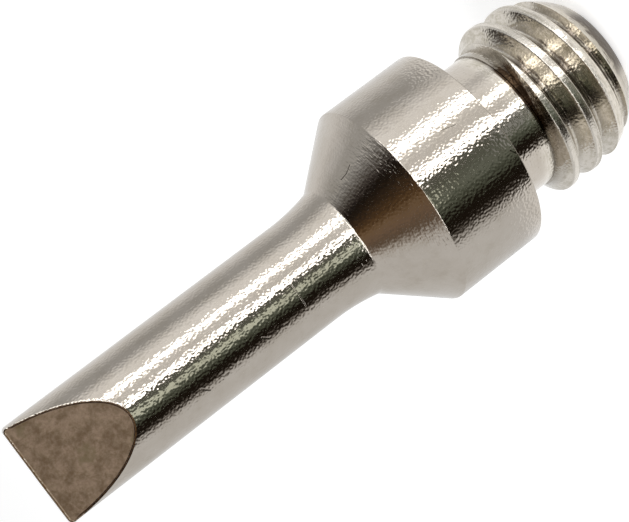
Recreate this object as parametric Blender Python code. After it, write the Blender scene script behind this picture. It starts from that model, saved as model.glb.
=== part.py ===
"""A screw-in chisel tip for a soldering iron, turned in one piece from copper bar and plated.

The shape is worked out with the chisel's end face at height zero and the threaded stub on
top. It is then turned over, so that it stands on the flat end of the thread with the chisel up
and one of its facets to the front. Lengths are in metres.
"""

import math

import bmesh
import bpy
from mathutils import Matrix, Vector

MM = 0.001

# Shank and chisel end
SHANK_DIAMETER = 2.86 * MM
SHANK_LENGTH = 11.2 * MM
FACET_LENGTH = 2.58 * MM
EDGE_THICKNESS = 0.44 * MM
CORNER_RADIUS = 0.12 * MM

# Cone and collar
CONE_ANGLE = math.radians(40.0)
FLARE_RADIUS = 5.5 * MM
FLARE_ANGLE = math.radians(13.8)
COLLAR_DIAMETER = 5.84 * MM
COLLAR_LENGTH = 2.58 * MM
COLLAR_EDGE_RADIUS = 0.05 * MM

# Neck, between the collar's seat and the thread
NECK_LENGTH = 1.32 * MM
NECK_BELOW_ROOT = 0.055 * MM
NECK_FILLET = 0.12 * MM

# Thread: metric, 5 mm with a 0.8 mm pitch, right-handed, its crests rounded over
THREAD_DIAMETER = 5.0 * MM
THREAD_PITCH = 0.8 * MM
THREAD_LENGTH = 2.87 * MM
CREST_UNDERSIZE = 0.04 * MM
FLANK_ANGLE = math.radians(30.0)
CREST_FLAT_SHARE = 0.12
CREST_EASE_SHARE = 0.1
CREST_EASE = 0.05 * MM
ROOT_FLAT_SHARE = 0.15
RUN_OUT = 0.595 * MM
SHOULDER_ANGLE = math.radians(75.0)

# The slanting face at which the first ridge fades out, and the side on which it lies highest
FADE_RISE = 0.06 * MM
FADE_SLOPE = 0.114
FADE_SIDE = math.radians(82.0)
FADE_BELOW_ROOT = 0.02 * MM

# Lead-in: the curve that narrows the threaded end, and its slope where it starts and ends
LEAD_RADIUS = 2.8 * MM
LEAD_START_ANGLE = math.radians(17.0)
LEAD_END_ANGLE = math.radians(45.0)

# Fineness of the round surfaces
SEGMENTS = 64
ARC_STEP = math.radians(8.0)

# What follows from the sizes above
SHANK_RADIUS = SHANK_DIAMETER / 2
COLLAR_RADIUS = COLLAR_DIAMETER / 2
CREST_RADIUS = THREAD_DIAMETER / 2 - CREST_UNDERSIZE
EASE_RADIUS = CREST_RADIUS - CREST_EASE
FLANK_SHARE = (1 - CREST_FLAT_SHARE - ROOT_FLAT_SHARE) / 2 - CREST_EASE_SHARE
ROOT_RADIUS = EASE_RADIUS - FLANK_SHARE * THREAD_PITCH / math.tan(FLANK_ANGLE)
NECK_RADIUS = ROOT_RADIUS - NECK_BELOW_ROOT
COLLAR_SEAT = SHANK_LENGTH + COLLAR_LENGTH
THREAD_START = COLLAR_SEAT + NECK_LENGTH
THREAD_END = THREAD_START + THREAD_LENGTH
GROOVE_START = THREAD_START - RUN_OUT
TOOL_RADIUS = CREST_RADIUS + CREST_UNDERSIZE


def arc(centre_radius, centre_height, radius, start, sweep):
    """Points of an arc in the (radius, height) half plane, both ends included."""
    steps = max(2, math.ceil(abs(sweep) / ARC_STEP))
    points = []
    for i in range(steps + 1):
        angle = start + sweep * i / steps
        points.append(
            (
                centre_radius + radius * math.cos(angle),
                centre_height + radius * math.sin(angle),
            )
        )
    return points


def chisel_corner():
    """The rounded rim of the shank's end face."""
    centre = SHANK_RADIUS - CORNER_RADIUS
    return arc(centre, CORNER_RADIUS, CORNER_RADIUS, -math.pi / 2, math.pi / 2)


def shank_flare():
    """The slight flare by which the shank widens before it meets the cone at a crisp inner edge."""
    widened = SHANK_RADIUS + FLARE_RADIUS * (1 - math.cos(FLARE_ANGLE))
    meeting = SHANK_LENGTH - (COLLAR_RADIUS - widened) / math.tan(CONE_ANGLE)
    start = meeting - FLARE_RADIUS * math.sin(FLARE_ANGLE)
    return arc(SHANK_RADIUS + FLARE_RADIUS, start, FLARE_RADIUS, math.pi, -FLARE_ANGLE)


def collar_rear_edge():
    centre = COLLAR_RADIUS - COLLAR_EDGE_RADIUS
    height = COLLAR_SEAT - COLLAR_EDGE_RADIUS
    return arc(centre, height, COLLAR_EDGE_RADIUS, 0.0, math.pi / 2)


def neck_root():
    """The small fillet where the neck leaves the collar's seat."""
    centre = NECK_RADIUS + NECK_FILLET
    return arc(centre, COLLAR_SEAT + NECK_FILLET, NECK_FILLET, -math.pi / 2, -math.pi / 2)


def shoulder():
    """The chamfer by which the thread rises from the neck."""
    length = (CREST_RADIUS - NECK_RADIUS) / math.tan(SHOULDER_ANGLE)
    return [(NECK_RADIUS, THREAD_START), (CREST_RADIUS, THREAD_START + length)]


def lead_in():
    """The curve that narrows the threaded end so that it starts easily into its socket."""
    centre = CREST_RADIUS - LEAD_RADIUS * math.cos(LEAD_START_ANGLE)
    height = THREAD_END - LEAD_RADIUS * math.sin(LEAD_END_ANGLE)
    return arc(centre, height, LEAD_RADIUS, LEAD_START_ANGLE, LEAD_END_ANGLE - LEAD_START_ANGLE)


def turned_outline():
    """Half section of the turned blank, from the axis at the chisel end to the axis on top."""
    return [
        (0.0, 0.0),
        *chisel_corner(),
        *shank_flare(),
        (COLLAR_RADIUS, SHANK_LENGTH),
        *collar_rear_edge(),
        *neck_root(),
        *shoulder(),
        *lead_in(),
        (0.0, THREAD_END),
    ]


def revolve(bm, outline):
    """Turns the outline round the Z axis, with a flat of the round facing +X and one facing -X."""
    half_step = Matrix.Rotation(math.pi / SEGMENTS, 3, "Z")
    verts = [bm.verts.new(half_step @ Vector((r, 0.0, z))) for r, z in outline]
    edges = [bm.edges.new(pair) for pair in zip(verts, verts[1:])]
    bmesh.ops.spin(
        bm,
        geom=verts + edges,
        cent=(0.0, 0.0, 0.0),
        axis=(0.0, 0.0, 1.0),
        angle=2 * math.pi,
        steps=SEGMENTS,
        use_merge=True,
    )
    bmesh.ops.remove_doubles(bm, verts=bm.verts[:], dist=1e-7)
    bmesh.ops.recalc_face_normals(bm, faces=bm.faces[:])


def grind_facet(bm, side):
    """Grinds one facet of the chisel: side is +1 or -1, along X."""
    rise = SHANK_RADIUS - EDGE_THICKNESS / 2
    normal = Vector((side * FACET_LENGTH, 0.0, -rise)).normalized()
    cut = bmesh.ops.bisect_plane(
        bm,
        geom=bm.verts[:] + bm.edges[:] + bm.faces[:],
        plane_co=(side * EDGE_THICKNESS / 2, 0.0, 0.0),
        plane_no=normal,
        clear_outer=True,
    )
    rim = [part for part in cut["geom_cut"] if isinstance(part, bmesh.types.BMEdge)]
    bmesh.ops.contextual_create(bm, geom=rim)


def thread_groove(bm):
    """The helical groove: the section of the threading tool, swept up the right-handed helix."""
    root = ROOT_FLAT_SHARE * THREAD_PITCH / 2
    flank = root + FLANK_SHARE * THREAD_PITCH
    ease = flank + CREST_EASE_SHARE * THREAD_PITCH
    half = [(ROOT_RADIUS, root), (EASE_RADIUS, flank), (CREST_RADIUS, ease), (TOOL_RADIUS, ease)]
    section = [(r, -z) for r, z in reversed(half)] + half
    turns = math.ceil((THREAD_END + ease - GROOVE_START) / THREAD_PITCH)
    verts = [bm.verts.new((r, 0.0, GROOVE_START + z)) for r, z in section]
    face = bm.faces.new(verts)
    bmesh.ops.spin(
        bm,
        geom=verts + list(face.edges) + [face],
        cent=(0.0, 0.0, 0.0),
        axis=(0.0, 0.0, 1.0),
        dvec=(0.0, 0.0, THREAD_PITCH / SEGMENTS),
        angle=2 * math.pi * turns,
        steps=SEGMENTS * turns,
        use_duplicate=False,
    )
    bmesh.ops.recalc_face_normals(bm, faces=bm.faces[:])


def thread_fade(bm):
    """A ring with a slanting top that takes away the thin beginning of the first ridge."""
    floor = ROOT_RADIUS - FADE_BELOW_ROOT
    top = THREAD_START + FADE_RISE
    bottom = THREAD_START - THREAD_PITCH / 2
    ring = [(floor, bottom), (TOOL_RADIUS, bottom), (TOOL_RADIUS, top), (floor, top)]
    revolve(bm, ring + ring[:1])
    slope = Vector((FADE_SLOPE * math.cos(FADE_SIDE), FADE_SLOPE * math.sin(FADE_SIDE), 0.0))
    for vert in bm.verts:
        if vert.co.z > THREAD_START:
            vert.co.z += slope.dot(vert.co)


def add_object(name, bm):
    mesh = bpy.data.meshes.new(name)
    bm.to_mesh(mesh)
    bm.free()
    mesh.shade_smooth()
    mesh.set_sharp_from_angle(angle=math.radians(20.0))
    obj = bpy.data.objects.new(name, mesh)
    bpy.context.scene.collection.objects.link(obj)
    return obj


def nickel_plate():
    material = bpy.data.materials.new("nickel_plate")
    material.use_nodes = True
    shader = material.node_tree.nodes["Principled BSDF"]
    shader.inputs["Base Color"].default_value = (0.66, 0.62, 0.57, 1.0)
    shader.inputs["Roughness"].default_value = 0.22
    shader.inputs["Metallic"].default_value = 1.0
    return material


def make_tip():
    body = bmesh.new()
    revolve(body, turned_outline())
    grind_facet(body, 1)
    grind_facet(body, -1)
    tip = add_object("iron_tip", body)
    tip.data.materials.append(nickel_plate())

    pieces = [tip]
    for shape in (thread_groove, thread_fade):
        cut = bmesh.new()
        shape(cut)
        cutter = add_object(shape.__name__, cut)
        cutter.hide_render = True
        cutter.display_type = "WIRE"
        pieces.append(cutter)

        threading = tip.modifiers.new(shape.__name__, "BOOLEAN")
        threading.operation = "DIFFERENCE"
        threading.solver = "EXACT"
        threading.object = cutter
    return pieces


def stand_up(pieces):
    """Turns the pieces over onto the threaded end, with the facet on the -X side to the front."""
    stand = bpy.data.objects.new("stand", None)
    bpy.context.scene.collection.objects.link(stand)
    for piece in pieces:
        piece.parent = stand
    stand.rotation_euler = (math.pi, 0.0, math.pi / 2)
    stand.location = (0.0, 0.0, THREAD_END)


def main():
    for obj in list(bpy.data.objects):
        bpy.data.objects.remove(obj, do_unlink=True)
    stand_up(make_tip())


main()
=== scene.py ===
# %% [markdown]
# # A plated soldering iron tip
#
# The object is one turned bar of copper with bright nickel plating: a round shank ground to a
# chisel, a cone, a collar, a neck and a threaded stub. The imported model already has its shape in
# coarse facets. A mirror-like metal shows every facet, so this lesson turns the same outline
# again with many more steps, cuts the same thread, and then spends most of its work on the
# plating and on the light that the plating reflects.

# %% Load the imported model
import math

import bmesh
import bpy
from mathutils import Euler, Matrix, Vector


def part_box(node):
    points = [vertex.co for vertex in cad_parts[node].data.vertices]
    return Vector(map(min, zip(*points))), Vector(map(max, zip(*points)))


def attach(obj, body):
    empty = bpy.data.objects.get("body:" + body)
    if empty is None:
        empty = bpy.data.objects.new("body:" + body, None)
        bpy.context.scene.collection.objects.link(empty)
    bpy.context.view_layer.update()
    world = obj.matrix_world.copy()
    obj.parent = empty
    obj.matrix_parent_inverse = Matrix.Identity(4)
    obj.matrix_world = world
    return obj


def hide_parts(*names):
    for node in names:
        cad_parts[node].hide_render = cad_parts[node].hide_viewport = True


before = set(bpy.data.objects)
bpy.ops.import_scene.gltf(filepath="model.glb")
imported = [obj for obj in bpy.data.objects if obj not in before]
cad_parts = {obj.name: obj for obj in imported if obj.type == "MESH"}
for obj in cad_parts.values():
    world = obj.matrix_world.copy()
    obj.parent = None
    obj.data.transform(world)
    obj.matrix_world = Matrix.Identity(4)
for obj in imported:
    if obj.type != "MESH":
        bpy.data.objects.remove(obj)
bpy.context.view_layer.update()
cad_low, cad_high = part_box("iron_tip")

# %% [markdown]
# ## Sizes
#
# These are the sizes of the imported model, in millimetres, written here again because the script
# can't read its source. The shape is worked out with the chisel's end face at height zero and
# the thread on top, and turned over at the end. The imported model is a 64-sided turning whose
# corners lie on the true radius, so the fine surface is kept just inside its flats.

# %% The tip's measures
SHANK_RADIUS = 1.43
SHANK_LENGTH = 11.2
FACET_LENGTH = 2.58
EDGE_THICKNESS = 0.44
CORNER_RADIUS = 0.12
CONE_ANGLE = math.radians(40.0)
FLARE_RADIUS = 5.5
FLARE_ANGLE = math.radians(13.8)
INNER_ROUND = 0.16
COLLAR_RADIUS = 2.92
COLLAR_SEAT = 13.78
COLLAR_REAR_RADIUS = 0.05
NECK_RADIUS = 1.988
NECK_FILLET = 0.12
THREAD_START = 15.1
THREAD_END = 17.97
CREST_RADIUS = 2.46
ROOT_RADIUS = 2.043
PITCH = 0.8
GROOVE_START = 14.505
SHOULDER_ANGLE = math.radians(75.0)
LEAD_RADIUS = 2.8
LEAD_ANGLES = (math.radians(17.0), math.radians(45.0))
EDGE_BREAK = 0.07
RING_SPACING = 0.08

STEPS = 256
PACKED_SIDES = 64
HAIR = 0.0002
INSIDE = math.cos(math.pi / PACKED_SIDES) - HAIR
print(f"tip {THREAD_END} mm long, collar {2 * COLLAR_RADIUS} mm across, {STEPS} steps round")

# %% [markdown]
# ## The outline
#
# A turned part is one half section spun round its axis. Straight runs need only their ends, and
# every rounding is an arc of short steps. The shank flares a little before the cone cuts across
# it. No edge on a plated part is truly sharp, so even the crisp lines on both sides of the cone
# get a rounding of a few hundredths of a millimetre: it catches the thin bright line there.
# Close rings along the chisel end keep the soft shading of the facets' rims beside those rims.

# %% Arcs and the half section


def arc(centre, radius, start, end, steps):
    """Points of an arc about a centre given as (radius, height)."""
    turns = [start + (end - start) * i / steps for i in range(steps + 1)]
    return [(centre[0] + radius * math.cos(t), centre[1] + radius * math.sin(t)) for t in turns]


def half_section():
    right = math.pi / 2
    widened = SHANK_RADIUS + FLARE_RADIUS * (1 - math.cos(FLARE_ANGLE))
    meeting = SHANK_LENGTH - (COLLAR_RADIUS - widened) / math.tan(CONE_ANGLE)
    flare = (SHANK_RADIUS + FLARE_RADIUS, meeting - FLARE_RADIUS * math.sin(FLARE_ANGLE))
    turn = (CONE_ANGLE - FLARE_ANGLE) / 2
    middle = (CONE_ANGLE + FLARE_ANGLE) / 2
    away = INNER_ROUND / math.cos(turn)
    inner = (widened + away * math.cos(middle), meeting - away * math.sin(middle))
    rim = (COLLAR_RADIUS - EDGE_BREAK, SHANK_LENGTH + EDGE_BREAK * math.tan(CONE_ANGLE / 2))
    rear = (COLLAR_RADIUS - COLLAR_REAR_RADIUS, COLLAR_SEAT - COLLAR_REAR_RADIUS)
    neck = (NECK_RADIUS + NECK_FILLET, COLLAR_SEAT + NECK_FILLET)
    shoulder = THREAD_START + (CREST_RADIUS - NECK_RADIUS) / math.tan(SHOULDER_ANGLE)
    first, last = LEAD_ANGLES
    lead = (
        CREST_RADIUS - LEAD_RADIUS * math.cos(first),
        THREAD_END - LEAD_RADIUS * math.sin(last),
    )
    flare_end = FLARE_ANGLE - INNER_ROUND * math.tan(turn) / FLARE_RADIUS
    rings = int((FACET_LENGTH + RING_SPACING - CORNER_RADIUS) / RING_SPACING)
    return [
        (0.0, 0.0),
        *arc((SHANK_RADIUS - CORNER_RADIUS, CORNER_RADIUS), CORNER_RADIUS, -right, 0.0, 8),
        *[(SHANK_RADIUS, CORNER_RADIUS + RING_SPACING * (i + 1)) for i in range(rings)],
        *arc(flare, FLARE_RADIUS, math.pi, math.pi - flare_end, 12),
        *arc(inner, INNER_ROUND, math.pi - FLARE_ANGLE, math.pi - CONE_ANGLE, 5),
        *arc(rim, EDGE_BREAK, -CONE_ANGLE, 0.0, 5),
        *arc(rear, COLLAR_REAR_RADIUS, 0.0, right, 6),
        *arc(neck, NECK_FILLET, -right, -math.pi, 6),
        (NECK_RADIUS, THREAD_START),
        (CREST_RADIUS, shoulder),
        *arc(lead, LEAD_RADIUS, first, last, 14),
        (0.0, THREAD_END),
    ]


outline = half_section()
print(len(outline), "points in the half section")

# %% [markdown]
# ## Turning the bar
#
# Spin copies the outline round the axis and joins the copies with faces, as a lathe would sweep
# it. A full turn with use_merge closes the seam, and the points that fall together on the axis
# are merged afterwards. Merging leaves points, edges and faces in a chance order, which later
# steps can feel, so they are sorted by place: that way every run gives the same mesh.

# %% Spin the outline
SAME_POINT = 1e-5


def whereabouts(part):
    """The middle of a point, an edge or a face, rounded to a hundredth of a micrometre."""
    corners = [part] if isinstance(part, bmesh.types.BMVert) else part.verts
    middle = sum((corner.co for corner in corners), Vector()) / len(corners)
    return tuple(round(coordinate, 5) for coordinate in middle)


def put_in_order(shape):
    for parts in (shape.verts, shape.edges, shape.faces):
        for place, part in enumerate(sorted(parts, key=whereabouts)):
            part.index = place
        parts.sort()


def turn_round(shape, section):
    """Spins a half section a full turn and leaves a closed shape with faces outwards."""
    verts = [shape.verts.new((r, 0.0, z)) for r, z in section]
    edges = [shape.edges.new(pair) for pair in zip(verts, verts[1:])]
    bmesh.ops.spin(
        shape,
        geom=verts + edges,
        cent=(0.0, 0.0, 0.0),
        axis=(0.0, 0.0, 1.0),
        angle=2 * math.pi,
        steps=STEPS,
        use_merge=True,
    )
    bmesh.ops.remove_doubles(shape, verts=shape.verts[:], dist=SAME_POINT)
    bmesh.ops.recalc_face_normals(shape, faces=shape.faces[:])
    put_in_order(shape)


bar = bmesh.new()
turn_round(bar, [(r * INSIDE, z) for r, z in outline])
print("turned bar:", len(bar.faces), "faces")

# %% [markdown]
# ## Grinding the chisel
#
# Each facet is a plane across the round end. bisect_plane cuts the mesh there and clears what
# lies outside, and a single new face closes the cut. Corners that fall almost together on the rim
# are merged first, or insetting would throw spikes there. The plating has run over the rim, so
# the face is inset twice. The outer ring slopes, is shaded smooth and catches a bright line, and
# the inner ring is the thin dark line where old flux has dried. The rings and the facet have
# material slots of their own, because the ground copper is duller and browner than the plating.

# %% Two ground facets
PLATED, GROUND, FLUX_LINE, WORN_RIM = range(4)
RIM_WIDTH = 0.038
RIM_DEPTH = 0.013
FLUX_WIDTH = 0.026
SHORTEST_EDGE = 0.02
INSETS = ((RIM_WIDTH, -RIM_DEPTH, WORN_RIM), (FLUX_WIDTH, 0.0, FLUX_LINE))


def grind(shape, side):
    rise = SHANK_RADIUS - EDGE_THICKNESS / 2
    cut = bmesh.ops.bisect_plane(
        shape,
        geom=shape.verts[:] + shape.edges[:] + shape.faces[:],
        plane_co=(side * EDGE_THICKNESS / 2, 0.0, 0.0),
        plane_no=Vector((side * FACET_LENGTH, 0.0, -rise)).normalized(),
        clear_outer=True,
    )
    corners = [part for part in cut["geom_cut"] if isinstance(part, bmesh.types.BMVert)]
    corners.sort(key=whereabouts)
    bmesh.ops.remove_doubles(shape, verts=corners, dist=SHORTEST_EDGE)
    put_in_order(shape)
    rim = [edge for edge in shape.edges if edge.is_boundary]
    facet = bmesh.ops.contextual_create(shape, geom=rim)["faces"][0]
    facet.normal_update()
    if facet.normal.x * side < 0:
        facet.normal_flip()
    for width, depth, finish in INSETS:
        ring = bmesh.ops.inset_individual(
            shape, faces=[facet], thickness=width, depth=depth, use_even_offset=False
        )
        for face in ring["faces"]:
            face.material_index = finish
    facet.material_index = GROUND


for side in (1, -1):
    grind(bar, side)
bmesh.ops.recalc_face_normals(bar, faces=bar.faces[:])
print("with facets:", len(bar.faces), "faces")

# %% [markdown]
# ## The thread
#
# A thread is a groove whose section climbs one pitch in each turn. Spin can climb as it turns,
# when it is given a small offset for each step, so the section of the threading tool is swept
# that way and then cut from the bar. The crests of this thread are eased and its root is
# rounded, so the section is a chain of arcs and flanks instead of four corners. A ring with a
# slanting top takes away the thin beginning of the first ridge, which fades out beside the neck.

# %% The threading tool's section and its helix
FLANK = math.radians(30.0)
ROOT_HALF = 0.06
ROOT_ROUND = ((0.0, 0.35), (0.006, 0.75), (0.022, 1.08))
EASE_DEPTH = 0.05
EASE_STEPS = 6
EASE_LEAN = 0.35
CREST_HALF = 0.048
TOOL_RADIUS = CREST_RADIUS + 0.04


def tool_half():
    """Upper half of the tool's section, root first, as (radius, height from its middle)."""
    flank_top = ROOT_HALF + (CREST_RADIUS - EASE_DEPTH - ROOT_RADIUS) * math.tan(FLANK)
    mouth = PITCH / 2 - CREST_HALF
    eased = []
    for i in range(1, EASE_STEPS + 1):
        s = i / EASE_STEPS
        lean = EASE_LEAN * s + (1 - EASE_LEAN) * s * s
        height = flank_top + (mouth - flank_top) * lean
        eased.append((CREST_RADIUS - EASE_DEPTH * (1 - s) ** 2, height))
    root = [(ROOT_RADIUS + rise, ROOT_HALF * share) for rise, share in ROOT_ROUND]
    return [*root, (CREST_RADIUS - EASE_DEPTH, flank_top), *eased, (TOOL_RADIUS, mouth)]


half = [(r * INSIDE, h) for r, h in tool_half()]
section = [(r, -h) for r, h in reversed(half)] + half
turns = math.ceil((THREAD_END + PITCH / 2 - GROOVE_START) / PITCH)

groove = bmesh.new()
corners = [groove.verts.new((r, 0.0, GROOVE_START + h)) for r, h in section]
start_face = groove.faces.new(corners)
bmesh.ops.spin(
    groove,
    geom=corners + list(start_face.edges) + [start_face],
    cent=(0.0, 0.0, 0.0),
    axis=(0.0, 0.0, 1.0),
    dvec=(0.0, 0.0, PITCH / STEPS),
    angle=2 * math.pi * turns,
    steps=STEPS * turns,
    use_duplicate=False,
)
bmesh.ops.recalc_face_normals(groove, faces=groove.faces[:])
print(f"groove: {turns} turns, {len(groove.faces)} faces")

# %% The slanting ring that fades the first ridge
FADE_HEIGHT = THREAD_START + 0.06
FADE_SLOPE = 0.114
FADE_SIDE = math.radians(82.0)
FADE_FLOOR = (ROOT_RADIUS - 0.02) * INSIDE
FADE_BASE = THREAD_START - PITCH / 2

fade = bmesh.new()
ring = [
    (FADE_FLOOR, FADE_BASE),
    (TOOL_RADIUS, FADE_BASE),
    (TOOL_RADIUS, FADE_HEIGHT),
    (FADE_FLOOR, FADE_HEIGHT),
]
turn_round(fade, ring + ring[:1])
slope = Vector((FADE_SLOPE * math.cos(FADE_SIDE), FADE_SLOPE * math.sin(FADE_SIDE), 0.0))
for vert in fade.verts:
    if vert.co.z > THREAD_START:
        vert.co.z += slope.dot(vert.co)
print("fade ring:", len(fade.faces), "faces")

# %% [markdown]
# ## Cutting, and standing the tip up
#
# The exact Boolean takes both shapes from the bar. The result is copied out as a plain mesh, so
# that the piece has no live modifier, and the cutters are removed. The tip stands on the flat end
# of its thread with a facet to the front, so the mesh is turned over and lifted by its length.
# The object itself stays at the origin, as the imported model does. The cuts can leave slits with
# no width between points that lie in one line. Merging the ends of those slits closes them.

# %% Cut the thread


def as_object(name, shape):
    mesh = bpy.data.meshes.new(name)
    shape.to_mesh(mesh)
    shape.free()
    made = bpy.data.objects.new(name, mesh)
    bpy.context.scene.collection.objects.link(made)
    return made


blank = as_object("blank", bar)
bright_nickel = bpy.data.materials.new("bright_nickel")
ground_copper = bpy.data.materials.new("ground_copper")
dried_flux = bpy.data.materials.new("dried_flux")
for finish in (bright_nickel, ground_copper, dried_flux, bright_nickel):
    blank.data.materials.append(finish)
cutters = [as_object("groove_cutter", groove), as_object("fade_cutter", fade)]
for cutter in cutters:
    cut = blank.modifiers.new(cutter.name, "BOOLEAN")
    cut.operation = "DIFFERENCE"
    cut.solver = "EXACT"
    cut.object = cutter
bpy.context.view_layer.update()
threaded = blank.evaluated_get(bpy.context.evaluated_depsgraph_get())
tip_mesh = bpy.data.meshes.new_from_object(threaded)
for helper in [blank, *cutters]:
    bpy.data.objects.remove(helper)
print("threaded:", len(tip_mesh.polygons), "faces")

# %% Stand it on its threaded end
MM = 0.001
TURN_OVER = (math.pi, 0.0, math.pi / 2)
LIFT = (0.0, 0.0, THREAD_END * MM)
SLIT_WIDTH = 0.01
stand_up = Matrix.LocRotScale(Vector(LIFT), Euler(TURN_OVER), Vector((MM, MM, MM)))

shape = bmesh.new()
shape.from_mesh(tip_mesh)
bmesh.ops.remove_doubles(shape, verts=shape.verts[:], dist=2 * SAME_POINT)
bmesh.ops.dissolve_degenerate(shape, edges=shape.edges[:], dist=SAME_POINT)
put_in_order(shape)
bmesh.ops.transform(shape, matrix=stand_up, verts=shape.verts[:])
bmesh.ops.triangulate(shape, faces=[f for f in shape.faces if len(f.verts) > 4])
slit_ends = [v for v in shape.verts if any(not e.is_manifold for e in v.link_edges)]
bmesh.ops.remove_doubles(shape, verts=slit_ends, dist=SLIT_WIDTH * MM)
open_edges = [e for e in shape.edges if not e.is_manifold]
print("slit ends:", len(slit_ends), "and open edges left:", len(open_edges))

# %% [markdown]
# ## Soft and sharp edges
#
# Smooth shading makes a turned surface look round, but it would also blur the true edges of the
# cone, the collar and the thread. So each edge is shaded smooth or sharp by the angle between
# its faces. The rims of the facets are the exception: on one side, and round the chisel's end,
# the plating has rolled over them. There they are smooth at any angle, and the soft shading
# catches a bright line. On the other side they stay sharp.

# %% Choose the soft edges and add the tip to the scene
SHARP_ANGLE = math.radians(24.0)
ROLLED_SIDE = 0.2 * MM
ROLLED_END = (THREAD_END - 0.35) * MM

for edge in shape.edges:
    place = (edge.verts[0].co + edge.verts[1].co) / 2
    on_rim = any(face.material_index == WORN_RIM for face in edge.link_faces)
    rolled_over = on_rim and (place.x > ROLLED_SIDE or place.z > ROLLED_END)
    edge.smooth = rolled_over or edge.calc_face_angle(0.0) < SHARP_ANGLE
for face in shape.faces:
    face.smooth = True
shape.to_mesh(tip_mesh)
shape.free()
tip_mesh.name = "tip_surface"
tip = bpy.data.objects.new("tip_surface", tip_mesh)
bpy.context.scene.collection.objects.link(tip)
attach(tip, "root")
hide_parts("iron_tip")
for name, low, high in zip("xyz", cad_low, cad_high):
    places = [vert.co["xyz".index(name)] for vert in tip_mesh.vertices]
    room = [round(gap * 1e6, 1) for gap in (min(places) - low, high - max(places))]
    print(name, "room to the packed model's box (um):", room)

# %% [markdown]
# ## Writing shader maths as expressions
#
# The finishes below are sums and products of noises and masks. A small class wraps a socket so
# that such maths can be written as Python expressions: each operator adds one Math node. Every
# other node comes from one method, which takes the node's type, its settings and its inputs.

# %% A wrapped socket and a node maker


class Value:
    """A number that varies over a surface: an output socket with arithmetic."""

    def __init__(self, maker, socket):
        self.maker = maker
        self.socket = socket

    def math(self, operation, *others):
        node = self.maker.add("Math", {"operation": operation}, [self, *others])
        return Value(self.maker, node.outputs[0])

    def __add__(self, other):
        return self.math("ADD", other)

    def __sub__(self, other):
        return self.math("SUBTRACT", other)

    def __mul__(self, other):
        return self.math("MULTIPLY", other)

    def __truediv__(self, other):
        return self.math("DIVIDE", other)

    def __rsub__(self, other):
        return (self * -1.0).math("ADD", other)

    def __rtruediv__(self, other):
        node = self.maker.add("Math", {"operation": "DIVIDE"}, [other, self])
        return Value(self.maker, node.outputs[0])

    __radd__ = __add__
    __rmul__ = __mul__

    def smooth(self, low, high):
        """0 below low, 1 above high, smooth between. With low above high it falls instead."""
        if low > high:
            return 1.0 - self.smooth(high, low)
        settings = {"interpolation_type": "SMOOTHSTEP"}
        inputs = {"Value": self, "From Min": low, "From Max": high}
        node = self.maker.add("MapRange", settings, inputs)
        return Value(self.maker, node.outputs["Result"])

    def band(self, low, high, soft):
        """1 between low and high, with soft edges outside them."""
        return self.smooth(low - soft, low) * self.smooth(high + soft, high)


class Maker:
    """Adds nodes to one node tree."""

    def __init__(self, tree):
        self.tree = tree

    def add(self, kind, settings=None, inputs=None):
        node = self.tree.nodes.new("ShaderNode" + kind)
        for key, value in (settings or {}).items():
            if key == "stops":
                self.set_stops(node.color_ramp, value)
            else:
                setattr(node, key, value)
        pairs = inputs.items() if isinstance(inputs, dict) else enumerate(inputs or [])
        for key, value in pairs:
            self.feed(node.inputs[key], value)
        return node

    def set_stops(self, ramp, stops):
        while len(ramp.elements) < len(stops):
            ramp.elements.new(1.0)
        for element, (place, colour) in zip(ramp.elements, stops):
            element.position = place
            element.color = (*colour, 1.0)

    def feed(self, socket, value):
        if isinstance(value, Value):
            self.tree.links.new(value.socket, socket)
        elif isinstance(value, bpy.types.NodeSocket):
            self.tree.links.new(value, socket)
        else:
            socket.default_value = value

    def split(self, vector):
        node = self.add("SeparateXYZ", None, [vector])
        return [Value(self, out) for out in node.outputs]

    def mix(self, factor, first, second):
        """A colour between two colours. The Mix node's colour sockets are numbers 6, 7 and 2."""
        node = self.add("Mix", {"data_type": "RGBA"})
        for index, value in ((0, factor), (6, first), (7, second)):
            self.feed(node.inputs[index], value)
        return node.outputs[2]

    def noise(self, vector, scale, detail=2.0, roughness=0.5, distortion=0.0):
        inputs = {
            "Vector": vector,
            "Scale": scale,
            "Detail": detail,
            "Roughness": roughness,
            "Distortion": distortion,
        }
        return Value(self, self.add("TexNoise", None, inputs).outputs["Fac"])

    def stretch(self, vector, scale):
        """The vector with each of its axes scaled."""
        node = self.add("VectorMath", {"operation": "MULTIPLY"}, [vector, scale])
        return node.outputs[0]


def open_material(material):
    """A node maker on a fresh material, its Principled shader, and the tip's own coordinates."""
    material.use_nodes = True
    maker = Maker(material.node_tree)
    shader = material.node_tree.nodes["Principled BSDF"]
    coordinates = maker.add("TexCoord").outputs["Object"]
    inputs = {"Vector": coordinates, "Location": LIFT, "Rotation": TURN_OVER, "Scale": (MM, MM, MM)}
    own = maker.add("Mapping", {"vector_type": "TEXTURE"}, inputs).outputs[0]
    return maker, shader, own


print("shader helpers ready")

# %% [markdown]
# ## Marks of use
#
# A clean computer-made surface looks false next to a part that has rattled in a box. A few marks
# are enough: a mark is a short groove between two points, drawn as the distance from that line.
# It darkens the colour a little, and the bump in the next cell lets it catch light.

# %% A mark between two points


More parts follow.
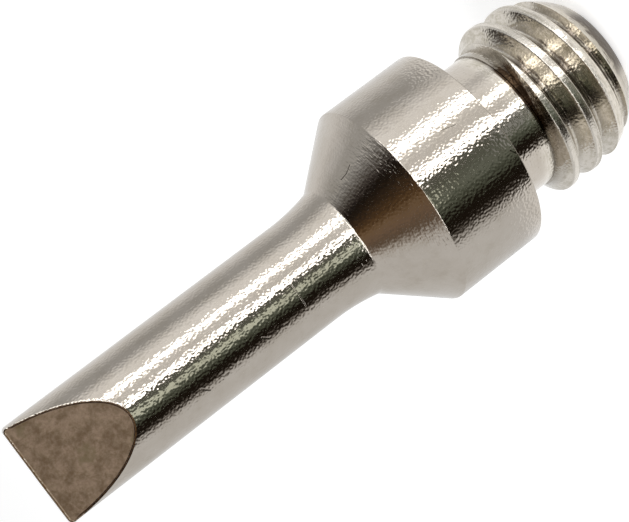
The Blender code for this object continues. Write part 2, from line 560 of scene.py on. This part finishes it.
def mark(maker, own, start, end, width):
    """1 on the line from start to end, 0 further away than width."""
    start, run = Vector(start), Vector(end) - Vector(start)
    away = maker.add("VectorMath", {"operation": "SUBTRACT"}, [own, start[:]]).outputs[0]
    share = maker.add("VectorMath", {"operation": "DOT_PRODUCT"}, [away, run[:]])
    share = Value(maker, share.outputs["Value"]) / run.length_squared
    share = share.math("MAXIMUM", 0.0).math("MINIMUM", 1.0)
    nearest = maker.add("VectorMath", {"operation": "SCALE"}, {"Vector": run[:], "Scale": share})
    gap = maker.add("VectorMath", {"operation": "DISTANCE"}, [away, nearest.outputs[0]])
    return Value(maker, gap.outputs["Value"]).smooth(width, width * 0.3)


def on_side(degrees, radius, along):
    """A point at an angle round the axis, a radius from it and a height along it."""
    turn = math.radians(degrees)
    return (radius * math.cos(turn), radius * math.sin(turn), along)


MARKS = [
    (on_side(203, 1.43, 4.30), on_side(210, 1.43, 4.46), 0.035),
    (on_side(199, 1.43, 6.22), on_side(204, 1.43, 6.36), 0.035),
    (on_side(134, 2.02, 10.13), on_side(135.5, 2.16, 10.30), 0.022),
    (on_side(135.5, 2.16, 10.30), on_side(134.5, 2.30, 10.46), 0.022),
    (on_side(158, 2.92, 12.5), on_side(160, 2.92, 12.9), 0.02),
    (on_side(186, 2.92, 13.62), on_side(189, 2.92, 13.72), 0.03),
    (on_side(20, 2.92, 11.9), on_side(24, 2.92, 12.7), 0.022),
    (on_side(300, 1.43, 5.1), on_side(306, 1.43, 5.3), 0.03),
]
print(len(MARKS), "marks")

# %% [markdown]
# ## The nickel plating
#
# Bright nickel is a warm grey mirror, but never a clean one. The lathe leaves fine rings round
# the bar, most plainly on the cone and beside it, and the plating over them is grainy, like very
# fine sand. That is what makes the edges of the bright bands ragged. Both are far too fine to
# model, so they are bump: noises squeezed along the axis for the rings, an even noise for the
# skin, and a wide one for slow waves. The coordinates are the tip's own, in millimetres, so a
# noise of scale 15 has 15 grains to the millimetre.

# %% Nickel plate: its relief
maker, shader, own = open_material(bright_nickel)
x, y, along = maker.split(own)
radius = (x * x + y * y).math("SQRT")

CONE_BEGINS = (9.5, 9.65)
CONE_ENDS = (11.25, 11.15)
THREAD_BEGINS = (14.6, 15.0)
on_cone = along.smooth(*CONE_BEGINS) * along.smooth(*CONE_ENDS)
threaded = along.smooth(*THREAD_BEGINS)

FINE_RINGS = (3.2, 3.2, 22.0)
WIDE_RINGS = (1.1, 1.1, 9.0)
fine_rings = maker.noise(maker.stretch(own, FINE_RINGS), scale=1.0, detail=2.0, roughness=0.6)
wide_rings = maker.noise(maker.stretch(own, WIDE_RINGS), scale=1.0, detail=2.0)
skin = maker.noise(own, scale=15.0, detail=0.0)
waves = maker.noise(own, scale=2.6, detail=2.0)

scratches = mark(maker, own, *MARKS[0])
for line in MARKS[1:]:
    scratches = scratches.math("MAXIMUM", mark(maker, own, *line))
print("relief so far:", len(maker.tree.nodes), "nodes")

# %% [markdown]
# The relief is a weighted sum of these. The weights change along the axis, because the tool left
# its plainest marks where it stopped, before the cone and before the collar. One short mark runs
# round the front of the shank: it is a narrow band, cut off on both sides.

# %% Nickel plate: the sum of its relief
RELIEF_DEPTH = 1.05e-5
BEFORE_CONE = (9.0, 9.5, 0.5)
BEFORE_COLLAR = (10.8, 11.15, 0.25)
RING_MARK = (7.553, 7.577, 0.01)

ring_mark = along.band(*RING_MARK) * x.smooth(-1.30, -1.38) * y.smooth(0.30, 0.18)
tool_stops = along.band(*BEFORE_CONE) * 0.34 + along.band(*BEFORE_COLLAR) * 0.45
rings = fine_rings * (0.09 + on_cone * 0.34 + tool_stops + threaded * 0.2)
rough_skin = skin * (0.62 - on_cone * 0.32) + wide_rings * on_cone * 0.25 + waves * 0.22
height = rings + rough_skin - scratches * 0.5 + ring_mark * 0.4
bump = maker.add("Bump", None, {"Strength": 1.0, "Distance": RELIEF_DEPTH, "Height": height})
shader.inputs["Metallic"].default_value = 1.0
maker.feed(shader.inputs["Normal"], bump.outputs[0])
print("relief:", len(maker.tree.nodes), "nodes")

# %% [markdown]
# Larger patches vary the colour and the roughness of the plating. On the thread the plating is
# paler, with olive stains, and its crests are worn. Painted shade darkens the thread's root and the
# first flank beside the neck, most of it on the side that the collar shelters, and the marks of use
# are darkened with the same colour.

# %% Nickel plate: its roughness
WORN_CREST = (2.405, 2.435)
patches = maker.noise(own, scale=0.9, detail=4.0, roughness=0.62)
stains = maker.noise(own, scale=3.1, detail=4.0, roughness=0.7)
grain = maker.noise(own, scale=15.0, detail=2.0, roughness=0.6)
worn_crest = threaded * radius.smooth(*WORN_CREST)
roughness = 0.03 + patches * 0.08 + grain * 0.06 + threaded * 0.06 + worn_crest * stains * 0.16
maker.feed(shader.inputs["Roughness"], roughness)
print("roughness:", len(maker.tree.nodes), "nodes")

# %% Nickel plate: its colour
CLEAN = (0.53, 0.485, 0.43, 1.0)
AGED = (0.44, 0.395, 0.335, 1.0)
ON_THREAD = (0.68, 0.635, 0.565, 1.0)
OLIVE = (0.38, 0.345, 0.265, 1.0)
POLISHED = (0.64, 0.60, 0.54, 1.0)
# The last colour is painted shade for the thread's root and its first flank, and it also darkens
# the marks of use.
PAINTED_SHADE_AND_MARKS = (0.06, 0.04, 0.025, 1.0)
tone = patches.smooth(0.35, 0.75) * 0.6 + stains.smooth(0.45, 0.75) * 0.4
colour = maker.mix(tone, CLEAN, AGED)
colour = maker.mix(threaded, colour, ON_THREAD)
colour = maker.mix(threaded * (stains + fine_rings).smooth(0.85, 1.2) * 0.55, colour, OLIVE)
colour = maker.mix(worn_crest * (1.25 - stains), colour, POLISHED)
# Painted shade: the thread's root and the first flank beside the neck are darkened, most on one
# side, and the marks of use get the same dark colour.
PAINTED_SHADE_SIDE = (-8.0, 34.0, 16.0)
FIRST_FLANK = (15.06, 15.2, 0.06)
ragged = radius + stains * 0.3 + fine_rings * 0.3
side = y.math("ARCTAN2", x * -1.0) * math.degrees(1.0)
shade_side_weight = 0.25 + side.band(*PAINTED_SHADE_SIDE) * 0.75
root = ragged.smooth(2.45, 2.33) * along.smooth(15.03, 15.08)
first_flank_shade = along.band(*FIRST_FLANK) * ragged.smooth(2.76, 2.70)
painted_shade_and_marks = (root + first_flank_shade) * shade_side_weight * 0.85 + scratches * 0.6
colour = maker.mix(painted_shade_and_marks.math("MINIMUM", 1.0), colour, PAINTED_SHADE_AND_MARKS)
maker.feed(shader.inputs["Base Color"], colour)
print("nickel plate:", len(maker.tree.nodes), "nodes")

# %% [markdown]
# ## The ground facets
#
# Grinding leaves bare, tinned metal that has been hot: dull, brown-grey and mottled. The grinding
# wheel leaves faint curved strokes, which are rings round a point far beside the facet. The
# facet scatters the light, so its roughness is high. The line of old flux round it is almost
# black, and it has burnt away along the chisel's edge.

# %% Ground facet: its relief
STROKE_DEPTH = 4.0e-6
STROKES_PER_MM = 14.0
WHEEL_SIDE, WHEEL_BELOW = 4.5, 3.5

maker, shader, own = open_material(ground_copper)
x, y, along = maker.split(own)
sideways, upwards = y - WHEEL_SIDE, along + WHEEL_BELOW
from_wheel = (sideways * sideways + upwards * upwards).math("SQRT")
arcs = maker.add("CombineXYZ", None, [from_wheel * STROKES_PER_MM, x * 0.6, y * 0.5]).outputs[0]
strokes = maker.noise(arcs, scale=1.0, detail=2.0, roughness=0.55)
mottle = maker.noise(own, scale=2.3, detail=5.0, roughness=0.7, distortion=0.3)
grain = maker.noise(own, scale=12.0, detail=3.0, roughness=0.6)
height = strokes * 0.7 + grain * 0.6
bump = maker.add("Bump", None, {"Strength": 1.0, "Distance": STROKE_DEPTH, "Height": height})
shader.inputs["Metallic"].default_value = 1.0
maker.feed(shader.inputs["Normal"], bump.outputs[0])
maker.feed(shader.inputs["Roughness"], 0.46 + grain * 0.16)
print("ground facet's relief:", len(maker.tree.nodes), "nodes")

# %% Ground facet: its colour
BROWN = (0.165, 0.115, 0.072, 1.0)
TINNED = (0.38, 0.29, 0.215, 1.0)
SCORCHED = (0.165, 0.135, 0.07, 1.0)
tone = mottle.smooth(0.36, 0.66) * 0.6 + grain.smooth(0.35, 0.7) * 0.3 + strokes * 0.15
colour = maker.mix(tone, BROWN, TINNED)
scorch = maker.noise(own, scale=1.1, detail=3.0, roughness=0.6).smooth(0.54, 0.66) * 0.6
colour = maker.mix(scorch, colour, SCORCHED)
maker.feed(shader.inputs["Base Color"], colour)
print("ground facet:", len(maker.tree.nodes), "nodes")

# %% The flux line
DARK_FLUX = (0.030, 0.017, 0.010, 1.0)
BROWN_FLUX = (0.11, 0.07, 0.045, 1.0)
BARE = (0.33, 0.24, 0.165, 1.0)
BURNT_AWAY = (0.42, 0.25)

maker, shader, own = open_material(dried_flux)
crust = maker.noise(own, scale=9.0, detail=3.0, roughness=0.6)
shader.inputs["Metallic"].default_value = 0.6
maker.feed(shader.inputs["Roughness"], 0.35 + crust * 0.3)
along = maker.split(own)[2]
flux = maker.mix(crust.smooth(0.5, 0.75), DARK_FLUX, BROWN_FLUX)
burnt_away = (along + crust * 0.3).smooth(*BURNT_AWAY)
maker.feed(shader.inputs["Base Color"], maker.mix(burnt_away, flux, BARE))
print("flux line:", len(maker.tree.nodes), "nodes")

# %% [markdown]
# ## Floor
#
# The tip stands on a plain white sweep. The floor takes the soft shadow as any matt surface does,
# and a little glow is added for the camera and for reflections, so that it reads as white
# without flooding the tip with light.

# %% White floor
FLOOR_HALF = 8.0
FLOOR_GLOW = 0.58

floor_shape = bmesh.new()
bmesh.ops.create_grid(floor_shape, x_segments=1, y_segments=1, size=FLOOR_HALF)
floor = as_object("floor", floor_shape)
white_floor = bpy.data.materials.new("white_floor")
white_floor.use_nodes = True
floor.data.materials.append(white_floor)


def seen_directly(maker):
    """1 for rays from the camera, from a reflection or through glass."""
    path = maker.add("LightPath").outputs
    seen = Value(maker, path["Is Camera Ray"]) + Value(maker, path["Is Glossy Ray"])
    return (seen + Value(maker, path["Is Transmission Ray"])).math("MINIMUM", 1.0)


maker = Maker(white_floor.node_tree)
shader = maker.tree.nodes["Principled BSDF"]
shader.inputs["Base Color"].default_value = (0.8, 0.8, 0.8, 1.0)
shader.inputs["Roughness"].default_value = 1.0
shader.inputs["Specular IOR Level"].default_value = 0.0
shader.inputs["Emission Color"].default_value = (1.0, 1.0, 1.0, 1.0)
maker.feed(shader.inputs["Emission Strength"], seen_directly(maker) * FLOOR_GLOW)
print("floor:", 2 * FLOOR_HALF, "m wide")

# %% [markdown]
# ## Camera
#
# The camera's place was fitted to the rims of the collar, the edges of the shank and the facet in
# the photograph: a long lens quite close by, a little above the chisel. It is rolled far over,
# because the photograph shows the tip slanting across the picture with its chisel down. The
# focal length came from that fit in pixels, so it is turned into millimetres on the sensor.

# %% Camera at the photograph's view
CAMERA_PLACE = Vector((5.580061, -41.271018, 19.868861)) * MM
CAMERA_ROWS = (
    (-0.574778, 0.808205, 0.128196),
    (-0.275480, -0.043591, -0.960318),
    (-0.770546, -0.587285, 0.247699),
)
PICTURE_WIDTH = 629.0
FOCAL_LENGTH = 1700.0
SENSOR_WIDTH = 36.0

camera_data = bpy.data.cameras.new("camera")
camera_data.sensor_width = SENSOR_WIDTH
camera_data.lens = FOCAL_LENGTH * SENSOR_WIDTH / PICTURE_WIDTH
camera_data.clip_start = MM
camera = bpy.data.objects.new("camera", camera_data)
bpy.context.scene.collection.objects.link(camera)
camera.matrix_world = Matrix.Translation(CAMERA_PLACE) @ Matrix(CAMERA_ROWS).to_4x4()
bpy.context.scene.camera = camera
bpy.context.scene.view_settings.view_transform = "Standard"
print("camera at (mm):", [round(c / MM, 2) for c in CAMERA_PLACE])

# %% [markdown]
# ## The light tent
#
# A shiny cylinder shows its surroundings squeezed into bands along its length, so the bands in
# the photograph are a picture of the studio: pale cloth, two bright windows, and a dark gap where
# the camera and the photographer stand. Shiny things are photographed in such a tent. Here it is
# a sheet that starts beside the tip's foot and rises to a dome, and only reflections see it.

# %% The tent's shape
TENT_RADIUS = 0.4
TENT_STEPS = 96
SHEET_HEIGHT = 0.00006
SHEET_RINGS = (0.0031, 0.006, 0.012, 0.03, 0.1, TENT_RADIUS)
DOME_START = 0.08
DOME_STEPS = 16

tent_shape = bmesh.new()
sheet = [(r, SHEET_HEIGHT) for r in SHEET_RINGS]
dome = arc((0.0, 0.0), TENT_RADIUS, DOME_START, math.pi / 2, DOME_STEPS)
verts = [tent_shape.verts.new((r, 0.0, z)) for r, z in sheet + dome]
edges = [tent_shape.edges.new(pair) for pair in zip(verts, verts[1:])]
bmesh.ops.spin(
    tent_shape,
    geom=verts + edges,
    cent=(0.0, 0.0, 0.0),
    axis=(0.0, 0.0, 1.0),
    angle=2 * math.pi,
    steps=TENT_STEPS,
    use_merge=True,
)
tent = as_object("light_tent", tent_shape)
tent.visible_camera = False
tent.visible_diffuse = False
tent.visible_transmission = False
tent.visible_shadow = False
print("tent:", len(tent.data.polygons), "faces")

# %% [markdown]
# ## Directions in the tent
#
# What the tent shows is drawn by direction, seen from the tip. Two flat directions are fixed once
# from the camera's place: one points from the tip straight towards it, the other to its side.
# Dot products with them give the angle round the tip. A ray that leaves the side of a round bar
# starts a little off the axis, so near the foot the angle is corrected for that.

# %% Angles round the tip
OFF_AXIS = 0.0012
towards = Matrix(CAMERA_ROWS).col[2]
near = Vector((towards.x, towards.y, 0.0)).normalized()
below = Vector((near.y, -near.x, 0.0))

tent_cloth = bpy.data.materials.new("tent_cloth")
tent_cloth.use_nodes = True
tent_cloth.cycles.emission_sampling = "NONE"
tent.data.materials.append(tent_cloth)
maker = Maker(tent_cloth.node_tree)
place = maker.add("TexCoord").outputs["Object"]


def part_along(vector):
    node = maker.add("VectorMath", {"operation": "DOT_PRODUCT"}, [place, vector[:]])
    return Value(maker, node.outputs["Value"])


forward = part_along(near)
sideways = part_along(below)
height = part_along(Vector((0.0, 0.0, 1.0)))
reach = (forward * forward + sideways * sideways).math("SQRT")
distance = (reach * reach + height * height).math("SQRT")
angle = sideways.math("ARCTAN2", forward) * math.degrees(1.0)
seen_angle = angle * (1.0 + OFF_AXIS / reach)
print("towards the camera:", [round(part, 3) for part in near])

# %% [markdown]
# ## Cloth, windows and the dark gap
#
# The first layer is a ramp over the angle: pale cloth all round, two narrow windows, and the
# dark gap beside them, faintly green, where the photographer stands. A ramp's colours end at 1,
# so all tones are written as shares of the windows' strength, and the glow is turned up by it.

# %% Bands round the tip
CLOTH = 0.8
WINDOW = (4.6, 4.6, 4.6)
STOPS = [
    (-180, (0.95, 0.95, 0.95)),
    (-134, (0.95, 0.95, 0.95)),
    (-104, (0.56, 0.56, 0.56)),
    (-88, (0.53, 0.53, 0.53)),
    (-72, (0.98, 0.98, 0.98)),
    (-60, (1.25, 1.25, 1.25)),
    (-47, (1.10, 1.10, 1.10)),
    (-43.5, WINDOW),
    (-36.5, WINDOW),
    (-33, (1.15, 1.14, 1.12)),
    (-20, (0.90, 0.89, 0.87)),
    (-13, (0.98, 0.97, 0.96)),
    (-9, WINDOW),
    (-3.5, WINDOW),
    (0, (0.16, 0.16, 0.14)),
    (12, (0.14, 0.15, 0.12)),
    (25, (0.20, 0.22, 0.18)),
    (32, (0.11, 0.125, 0.095)),
    (40, (0.07, 0.075, 0.055)),
    (44, (0.014, 0.010, 0.007)),
    (58, (0.018, 0.013, 0.009)),
    (65, (0.15, 0.135, 0.12)),
    (72, (0.62, 0.61, 0.60)),
    (80, (CLOTH, CLOTH, CLOTH)),
]
BRIGHTEST = max(WINDOW)


def as_share(tone):
    return tuple(part / BRIGHTEST for part in tone)


stops = [((turn + 180) / 360, as_share(tone)) for turn, tone in STOPS]
bands = maker.add("ValToRGB", {"stops": stops}, [seen_angle / 360.0 + 0.5]).outputs[0]
print("bands:", len(STOPS), "stops, the brightest", BRIGHTEST)

# %% [markdown]
# ## Things nearer and further out
#
# The shank, the collar, the neck and the thread look down at the sheet ever closer to the foot,
# so they differ by how far out a thing lies. A pale green stripe far out is the thin line in the
# shank's dark band. Closer in, the sheet is lighter on both sides, a small grey patch lights the
# neck, and a darker ring lies under the thread.

# %% Patches on the sheet
STRIPE_TONE = (0.90, 0.96, 0.82)
SIDE_TONE = (1.1, 1.1, 1.1)
RING_TONE = (0.36, 0.34, 0.28)
NECK_TONE = (0.40, 0.41, 0.40)


def lay_over(under, where, tone):
    """The drawing so far, with one even tone laid over it where the mask is 1."""
    return maker.mix(where, under, (*as_share(tone), 1.0))


far_stripe = seen_angle.band(17.0, 22.0, 4.5) * reach.smooth(0.026, 0.032)
at_sides = seen_angle.smooth(62.0, 72.0) + seen_angle.smooth(-75.0, -95.0)
light_sides = reach.smooth(0.013, 0.010) * at_sides
under_thread = reach.band(0.0044, 0.0049, 0.0010) * 0.6
beside_neck = seen_angle.band(3.0, 20.0, 5.0) * reach.band(0.0084, 0.0099, 0.0010)

bands = lay_over(bands, far_stripe, STRIPE_TONE)
bands = lay_over(bands, light_sides, SIDE_TONE)
bands = lay_over(bands, under_thread, RING_TONE)
bands = lay_over(bands, beside_neck, NECK_TONE)
print("patches laid:", len(maker.tree.nodes), "nodes")

# %% [markdown]
# ## The card overhead
#
# A dark brown card hangs over the chisel, and the cone, which leans that way, shows it as its
# brown middle. It fades into pale cloth on both sides, so it is a ramp over how far to the side
# a direction points, from -1 to 1. It takes the place of the bands above a height.

# %% A dark card above the chisel
CARD_HEIGHT = (0.56, 0.68)
CARD_STOPS = [
    (-0.88, (0.80, 0.80, 0.80)),
    (-0.78, (0.58, 0.58, 0.57)),
    (-0.68, (0.33, 0.33, 0.33)),
    (-0.58, (0.15, 0.14, 0.13)),
    (-0.49, (0.06, 0.05, 0.045)),
    (-0.40, (0.012, 0.009, 0.007)),
    (-0.24, (0.035, 0.024, 0.016)),
    (-0.08, (0.085, 0.050, 0.026)),
    (0.04, (0.14, 0.08, 0.035)),
    (0.16, (0.25, 0.165, 0.095)),
    (0.30, (0.23, 0.155, 0.105)),
    (0.44, (0.16, 0.115, 0.08)),
    (0.52, (0.34, 0.29, 0.25)),
    (0.61, (0.74, 0.72, 0.70)),
    (0.68, (CLOTH, CLOTH, CLOTH)),
]
card_stops = [((side + 1) / 2, as_share(tone)) for side, tone in CARD_STOPS]
aside = (sideways / distance) * 0.5 + 0.5
card = maker.add("ValToRGB", {"stops": card_stops}, [aside]).outputs[0]
overhead = (height / distance).smooth(*CARD_HEIGHT)
shown = maker.mix(overhead, bands, card)
print("card:", len(CARD_STOPS), "stops")

# %% [markdown]
# ## A bright strip under the card
#
# The small roundings on both sides of the cone sweep over every height between the sheet and the
# card. A bright strip there gives them the thin bright lines of the photograph. It hangs only in
# front, or it would draw a line down the cone's outline as well.

# %% The strip, and the tent's glow
STRIP_TONE = (3.0, 3.0, 3.0)
STRIP_HEIGHT = (0.34, 0.47, 0.03)
IN_FRONT = (0.35, 0.60)

strip = (height / distance).band(*STRIP_HEIGHT) * (forward / distance).smooth(*IN_FRONT)
shown = lay_over(shown, strip, STRIP_TONE)
glow = maker.add("Emission", None, {"Color": shown, "Strength": BRIGHTEST})
maker.feed(maker.tree.nodes["Material Output"].inputs["Surface"], glow.outputs[0])
maker.tree.nodes.remove(maker.tree.nodes["Principled BSDF"])
print("tent cloth:", len(maker.tree.nodes), "nodes")

# %% [markdown]
# ## World and lamp
#
# The world fills the room with even light and is white wherever it is seen. One large soft lamp
# above gives the tip a faint shadow on the floor.

# %% World and lamp
ROOM_LIGHT = 0.5
LAMP_PLACE = Vector((-0.12, -0.16, 0.30))
LAMP_WIDTH = 0.3
LAMP_POWER = 0.45

world = bpy.data.worlds.new("white_room")
bpy.context.scene.world = world
world.use_nodes = True
maker = Maker(world.node_tree)
background = maker.tree.nodes["Background"]
background.inputs["Color"].default_value = (1.0, 1.0, 1.0, 1.0)
strength = seen_directly(maker) * (1.0 - ROOM_LIGHT) + ROOM_LIGHT
maker.feed(background.inputs["Strength"], strength)

lamp = bpy.data.lights.new("soft_lamp", "AREA")
lamp.shape = "DISK"
lamp.size = LAMP_WIDTH
lamp.energy = LAMP_POWER
soft_lamp = bpy.data.objects.new("soft_lamp", lamp)
bpy.context.scene.collection.objects.link(soft_lamp)
soft_lamp.location = LAMP_PLACE
soft_lamp.rotation_euler = LAMP_PLACE.to_track_quat("Z", "Y").to_euler()
soft_lamp.visible_glossy = False
print("lamp:", lamp.energy, "W")
